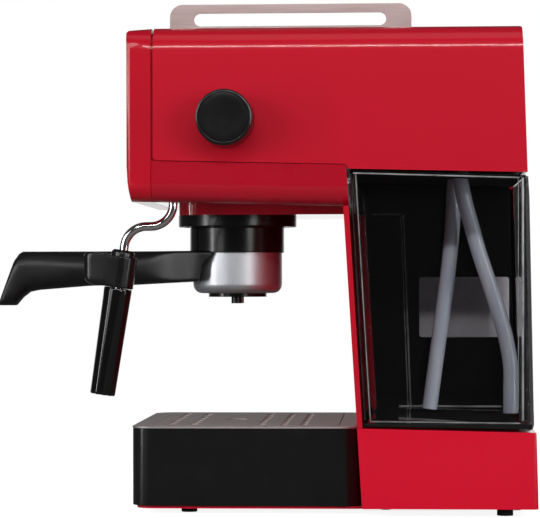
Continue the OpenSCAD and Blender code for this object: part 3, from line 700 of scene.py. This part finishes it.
def add_handle():
    """The handle's arm, cut to the cup and the ring, and its end cap. They meet at a stepped seam."""
    seam_gap = 0.06
    far_y, under_z, over_z, wide = -240, 100, 200, 60
    arm = handle_solid("handle_grip")
    cut(arm, cylinder_about_group(CUP_R + 0.15, under_z, CUP_TOP))
    cut(arm, cylinder_about_group(RING_R + 0.4, CUP_TOP - 1, over_z))
    saddle = [(-79.2, 170), (-79.2, 163.2), (-82.6, 160.4), (-86, 157), (-87.0, 153.6), (-87.2, 150.5),
              (-88, 147.5), (-89, 145.4), (-89, 120), (-40, 120), (-40, 170)]
    cut(arm, slab_along_x("cutter", saddle, -wide, wide))
    tip = [(far_y, under_z), (TIP_SEAM_Y, under_z), (TIP_SEAM_Y, TIP_SEAM_Z), (far_y, TIP_SEAM_Z)]
    cut(arm, slab_along_x("cutter", tip, -wide, wide))
    set_smooth(arm, 32)
    place_piece(arm, "black_plastic", "portafilter", "black_plastic", "portafilter_handle")
    cap = handle_solid("handle_tip_cap")
    cap_y, cap_z = TIP_SEAM_Y - seam_gap, TIP_SEAM_Z - seam_gap
    beyond_cap = [(far_y, cap_z), (cap_y, cap_z), (cap_y, under_z), (-40, under_z), (-40, over_z),
                  (far_y, over_z)]
    cut(cap, slab_along_x("cutter", beyond_cap, -wide, wide))
    set_smooth(cap, 32)
    place_piece(cap, "black_plastic", "portafilter", "black_plastic", "handle_cap")


# ---------------------------------------------------------------- steam knob
def add_knob():
    """Turned knob with a rounded rim, and a groove round a slightly dished face."""
    centre_z = middle_mm("steam_knob")[2]
    profile = [(3.02, 116), (3.02, 101), (7, 101), (7, 118), (14.5, 118), (14.5, 101), (17.2, 101),
               (17.5, 101.3), (17.5, 104), (17.3, 121.6), (17.25, 123.4), (17.1, 124.1), (16.9, 124.4),
               (16.3, 124.65), (15.6, 124.82), (15.35, 124.75), (15.25, 124.2), (14.75, 124.2),
               (14.65, 124.85), (14.3, 124.9), (11, 124.8), (6, 124.6), (0.02, 124.5), (0.02, 116)]
    knob = revolve("steam_knob_turned", profile, lambda u, v, h: (h, GROUP_Y + u, centre_z + v), 128)
    set_smooth(knob, 30)
    place_piece(knob, "smooth_black", "steam_control", "black_plastic", "steam_knob", "knob_cap")


# ---------------------------------------------------------------- steam wand and frother
def on_sleeve(across_x, across_y, along):
    """A point in the sleeve's own frame, as a point in the row. along runs up the sleeve."""
    s, c = math.sin(SLEEVE_TILT), math.cos(SLEEVE_TILT)
    return (SLEEVE_FOOT.x + across_x,
            SLEEVE_FOOT.y + across_y * c + along * s,
            SLEEVE_FOOT.z - across_y * s + along * c)


def add_steam_pipe():
    """One bent pipe from the bush to the nozzle."""
    bush_y = middle_mm("wand_bush")[1]
    bend_1_z = 193.6
    bend_2_z = bend_1_z - 2 * BEND_R
    end_along = (bend_2_z + BEND_R * math.sin(SLEEVE_TILT) - SLEEVE_FOOT.z) / math.cos(SLEEVE_TILT)
    bend_2_y = SLEEVE_FOOT.y + end_along * math.sin(SLEEVE_TILT) + BEND_R * math.cos(SLEEVE_TILT)
    line = [Vector((SLEEVE_FOOT.x, bush_y, z)) for z in (211, 205, 199)]
    steps = 14
    for k in range(steps + 1):
        turn = -math.pi / 2 * k / steps
        line.append(Vector((SLEEVE_FOOT.x, bush_y - BEND_R + BEND_R * math.cos(turn),
                            bend_1_z + BEND_R * math.sin(turn))))
    for k in range(1, steps + 1):
        turn = math.pi / 2 + (math.pi / 2 - SLEEVE_TILT) * k / steps
        line.append(Vector((SLEEVE_FOOT.x, bend_2_y + BEND_R * math.cos(turn),
                            bend_2_z + BEND_R * math.sin(turn))))
    for along in (end_along - 8, end_along - 30, 32):
        line.append(Vector(on_sleeve(0, 0, along)))
    pipe = loft("steam_pipe_bent", tube_rings(line, PIPE_R, 32))
    set_smooth(pipe, 40)
    place_piece(pipe, "chrome", "steam_wand", "chrome", "steam_pipe")


def add_frother_sleeve():
    """Fluted sleeve, open at both ends, with a scalloped foot."""
    flutes = 10
    flute_depth = 0.14
    phase = 0.35
    scallop_height = 0.9
    foot_r, top_r, bore_r = 7.85, 8.85, 5.1

    def ring(radius, along, carved):
        points = []
        for turn in turns(160):
            groove = abs(math.cos(flutes * turn / 2 + phase)) ** 4
            r = radius - carved * flute_depth * groove
            scallop = scallop_height * groove if along <= 1.0 and carved else 0
            points.append(on_sleeve(r * math.cos(turn), r * math.sin(turn), along + scallop))
        return points

    levels = [(0.0, 0.55, 0.6), (0.25, 0.2, 0.9), (0.8, 0.0, 1)]
    levels += [(2 + 4 * k, 0.0, 1) for k in range(16)]
    levels += [(SLEEVE_LENGTH - 1.8, 0.0, 0.9), (SLEEVE_LENGTH - 0.6, 0.1, 0.5), (SLEEVE_LENGTH, 0.45, 0.2)]
    outer = [ring(foot_r + (top_r - foot_r) * along / SLEEVE_LENGTH - inset, along, carved)
             for along, inset, carved in levels]
    inner = [ring(bore_r, along, 0) for along in (SLEEVE_LENGTH, 45, 20, 0.0)]
    sleeve = loft("frother_sleeve_fluted", outer + inner, closed=True)
    set_smooth(sleeve, 50)
    place_piece(sleeve, "gloss_black", "frother", "gloss_black", "frother_sleeve")


def grip_section(reach, body_r, tip_r, inset):
    """Outline in the sleeve's frame: round at the pipe, tapering to a slimmer round front."""
    tip_y = -(reach - tip_r)
    lean = math.asin((body_r - tip_r) / -tip_y)
    steps = 40
    outline = []
    for radius, middle, start, end in ((body_r - inset, 0, -lean, math.pi + lean),
                                       (tip_r - inset, tip_y, math.pi + lean, 2 * math.pi - lean)):
        for k in range(steps + 1):
            turn = start + (end - start) * k / steps
            outline.append((radius * math.cos(turn), middle + radius * math.sin(turn)))
    return outline


def add_wand_grip():
    """Paddle-shaped grip, and a collar above it that the pipe comes out of."""
    low, high = 67.7, 87.6
    body_r, tip_r = 9.3, 6.5
    front_y = box_mm("wand_grip")[0][1]
    low_corner, high_corner = 4.5, 3.5

    def reach_at(along):
        """The front edge is upright, and its corners are rounded as seen from the side."""
        reach = (SLEEVE_FOOT.y - front_y + along * math.sin(SLEEVE_TILT)) / math.cos(SLEEVE_TILT)
        into_low = max(low + low_corner - along, 0)
        into_high = max(along - high + high_corner, 0)
        reach -= low_corner - math.sqrt(low_corner**2 - into_low**2)
        return reach - high_corner + math.sqrt(high_corner**2 - into_high**2)

    edge = [(0, 0.8), (0.12, 0.42), (0.4, 0.14), (0.8, 0)]
    levels = [(low + rise, inset) for rise, inset in edge]
    levels += [(low + 1.2 + k * (high - low - 2.4) / 18, 0) for k in range(19)]
    levels += [(high - rise, inset) for rise, inset in edge[::-1]]
    rings = [[on_sleeve(x, y, along) for x, y in grip_section(reach_at(along), body_r, tip_r, inset)]
             for along, inset in levels]
    grip = loft("wand_grip_body", rings)
    set_smooth(grip, 40)
    place_piece(grip, "smooth_black", "steam_wand", "black_plastic", "wand_grip")
    collar_profile = [(2.9, 86.5), (7.4, 86.5), (7.4, 89.6), (7.25, 90.1), (6.2, 91.3), (5.8, 91.5),
                      (3.4, 91.5), (2.9, 91.2)]
    collar = revolve("wand_grip_collar", collar_profile, on_sleeve, 64)
    set_smooth(collar, 30)
    place_piece(collar, "smooth_black", "steam_wand", "black_plastic")


# ---------------------------------------------------------------- water tank
(TANK_FAR_X, RIM_FRONT_Y, _), (TANK_NEAR_X, _, RIM_FRONT_Z) = box_mm("water_tank")
RIM_SLOPE = 3.5 / 113.3
FRONT_LEAN = 0.0554
BACK_LEAN = 0.017
BACK_FOOT_Y, BACK_FOOT_Z = 123.2, 56.5


def tank_front(z):
    """Place of the tank's leaning front wall at a height."""
    return RIM_FRONT_Y + (RIM_FRONT_Z - z) * FRONT_LEAN


def tank_back(z):
    """Place of the tank's leaning back wall at a height."""
    return BACK_FOOT_Y - (z - BACK_FOOT_Z) * BACK_LEAN


def tank_ring(share, inset, rise, corner, floor_rise):
    """One level of the tank's wall. share runs from 0 at its foot to 1 at its rim."""
    steps = 8
    low_z, high_z = 56, 210
    points = []
    corners = ((1, 1, 0), (-1, 1, 90), (-1, -1, 180), (1, -1, 270))
    half_x = (TANK_NEAR_X - TANK_FAR_X) / 2 - inset
    middle_x = (TANK_NEAR_X + TANK_FAR_X) / 2
    level_z = low_z + (high_z - low_z) * share
    front, back = tank_front(level_z) + inset, tank_back(level_z) - inset
    middle_y, half_y = (front + back) / 2, (back - front) / 2
    radius = max(corner - inset, 0.6)
    for side_x, side_y, start in corners:
        for k in range(steps + 1):
            turn = math.radians(start + 90 * k / steps)
            x = middle_x + side_x * (half_x - radius) + radius * math.cos(turn)
            y = middle_y + side_y * (half_y - radius) + radius * math.sin(turn)
            foot = DECK_Z + 0.5 - y * FALL + floor_rise
            rim = RIM_FRONT_Z - (y - RIM_FRONT_Y) * RIM_SLOPE
            points.append((x, y, foot + rise + (rim - foot) * share))
    return points


def add_tank():
    """Smoke-tinted tank with rounded corners, a real wall and an open top."""
    corner, foot_r, inner_foot_r, wall, floor_t = 7.0, 4.0, 3.0, 2.4, 4
    rim_half = 0.5
    bends, levels = 5, 12
    outer, inner = [], []
    for k in range(bends + 1):
        turn = math.pi / 2 * k / bends
        out, up = 1 - math.sin(turn), 1 - math.cos(turn)
        outer.append(tank_ring(0, foot_r * out, foot_r * up, corner, 0))
        inner.append(tank_ring(0, wall + inner_foot_r * out, inner_foot_r * up, corner, floor_t))
    for k in range(1, levels + 1):
        share = 0.06 + 0.94 * k / levels
        rounded = rim_half if k == levels else 0
        outer.append(tank_ring(share, rounded, 0, corner, 0))
        inner.append(tank_ring(share, wall - rounded, 0, corner, floor_t))
    tank = loft("water_tank_shell", outer + inner[::-1])
    set_smooth(tank, 40)
    place_piece(tank, "smoke_tank", "tank", "smoke_tank", "water_tank")


def add_edge_bar(name, start, end, radius, body, slot):
    """Thin round bar that stands for light gathered in an edge."""
    bar = loft(name, rod_between(start, end, radius))
    set_smooth(bar, 50)
    place_piece(bar, "tank_edge", body, slot)


def add_tank_edges():
    """Painted highlight lines: white bars in the edges of the tank's near wall and floor. And a dark band
    along its foot.
    """
    low, high, back_high = 59.4, 211.2, 208.2
    front_x, inner_x, back_x, far_x = 91.2, 95.9, 96.8, -79.2
    front_high, front_low = tank_front(high), tank_front(low)
    # White bars as painted highlights along the tank's edges.
    bars = {
        "tank_edge_front": ((front_x, front_high + 0.9, high), (front_x, front_low + 0.9, low), 0.55),
        "tank_edge_front_inner": ((inner_x, front_high + 4.1, high - 0.5),
                                  (inner_x, front_low + 4.4, low), 0.42),
        "tank_edge_back": ((back_x, 116.4, back_high), (back_x, 116.0, low), 0.72),
        "tank_edge_back_inner": ((back_x, 113.7, back_high), (back_x, 113.3, 66), 0.22),
        "tank_edge_top": ((back_x, 12.5, 211.5), (back_x, 114.5, 208.3), 0.52),
        "tank_edge_foot": ((back_x, 22.5, 58.8), (back_x, 114.5, 57.8), 0.42),
        "tank_edge_far_foot": ((far_x, 40, low), (far_x, 110, 59.2), 0.6),
    }
    for name, (start, end, radius) in bars.items():
        add_edge_bar(name, start, end, radius, "tank", "smoke_tank")
    band_low, band_high = 55.7, 57.6
    outline = [(18.6, band_low), (18.4, band_high), (121.9, band_high), (121.9, band_low - 1.6)]
    band = slab_along_x("tank_foot_band", outline, 97.7, 98.5)
    add_bevel(band, 0.3)
    place_piece(band, "smooth_black", "tank", "smoke_tank")


def add_bay_trim():
    """Red flange down the front of the cable duct, white bars as painted glints on the duct's edges, and
    black linings of the bay.
    """
    duct_x, flange_x, liner_x = -83.95, -83.4, -93.9
    flange = slab_along_x("bay_flange", [(12.9, 190.4), (16.9, 190.4), (24.6, 57), (19.6, 57)],
                          duct_x, flange_x)
    add_bevel(flange, 0.2)
    place_piece(flange, "red_plastic", "machine", "red_plastic")
    roof = [(10.2, 213.05), (10.2, 213.2), (118.6, 209.85), (118.6, 209.7)]
    lining = slab_along_x("bay_roof_lining", roof, -91.8, 97.4)
    place_piece(lining, "dull_black", "machine", "black_plastic")
    # White bars as painted glints along the duct's edges.
    painted_duct_glints = {
        "duct_edge_long": ((duct_x, 43.2, 190.8), (duct_x, 48.0, 57), 0.55),
        "duct_edge_inner": ((duct_x, 41.4, 189.6), (duct_x, 46.2, 57), 0.35),
        "duct_edge_top": ((duct_x, 22, 191.0), (duct_x, 42.6, 191.0), 0.4),
    }
    for name, (start, end, radius) in painted_duct_glints.items():
        add_edge_bar(name, start, end, radius, "machine", "black_plastic")
    strip = slab_along_x("bay_back_strip", [(116.4, 54.6), (123.2, 54.6), (118.8, 208.4), (112.4, 208.4)],
                         liner_x, liner_x + 0.4)
    place_piece(strip, "gloss_black", "machine", "gloss_black")


# ---------------------------------------------------------------- carried-over CAD nodes
def dress_nodes():
    """Gives every CAD node its slot's finish and rounds its edges."""
    slot_of = {part["node"]: part["material_slot"] for part in frame["record"]["subparts"]}
    # Some nodes take other finishes: the base gets a lighter copy of the red as painted light, and the head's
    # underside a darker copy as painted shade.
    other_finish = {
        "control_plate": "brushed_plate", "shower_screen": "brushed_plate", "head_floor": "red_underside_painted_shade",
        "base_housing": "red_base_painted_light", "front_fascia": "red_front", "group_collar": "smooth_black",
        "portafilter_ring": "smooth_black", "spout_disc": "smooth_black", "drip_tray": "smooth_black",
        "bay_liner": "gloss_black", "drip_grid": "grid_steel", "tray_rim": "grid_steel",
    }
    round_mm = {
        "base_housing": 0.9, "column_shell": 0.5, "head_floor": 0.6, "front_fascia": 0.7,
        "top_cover": 0.8, "portafilter_ring": 0.5, "portafilter_cup": 0.5, "group_collar": 0.6,
        "drip_tray": 0.7, "spout_disc": 0.4, "rubber_feet": 0.8, "boiler_lower": 0.6,
        "boiler_upper": 0.8, "pump_coil": 0.8, "pump_ends": 0.6, "power_button": 0.7,
        "brew_button": 0.7, "steam_button": 0.7, "cup_rail": 0.25, "drip_grid": 0.25,
        "tray_rim": 0.3, "rating_label": 0.08, "filter_basket": 0.2, "bay_liner": 0.8,
    }
    for name, node in nodes.items():
        slot = slot_of[name]
        node.data.materials.clear()
        node.data.materials.append(finishes[other_finish.get(name, slot)])
        if not node.hide_render:
            add_bevel(node, round_mm.get(name, 0.3))


# ---------------------------------------------------------------- the scene
add_camera()
finishes = make_finishes()
add_hose("suction_hose_tube", SUCTION_ROUTE, "suction_hose")
add_hose("return_hose_tube", RETURN_ROUTE, "return_hose")
add_world()
add_lights()
add_floor()
add_handle()
add_handle_root()
add_knob()
add_steam_pipe()
add_frother_sleeve()
add_wand_grip()
add_tank()
add_tank_edges()
add_bay_trim()
dress_nodes()
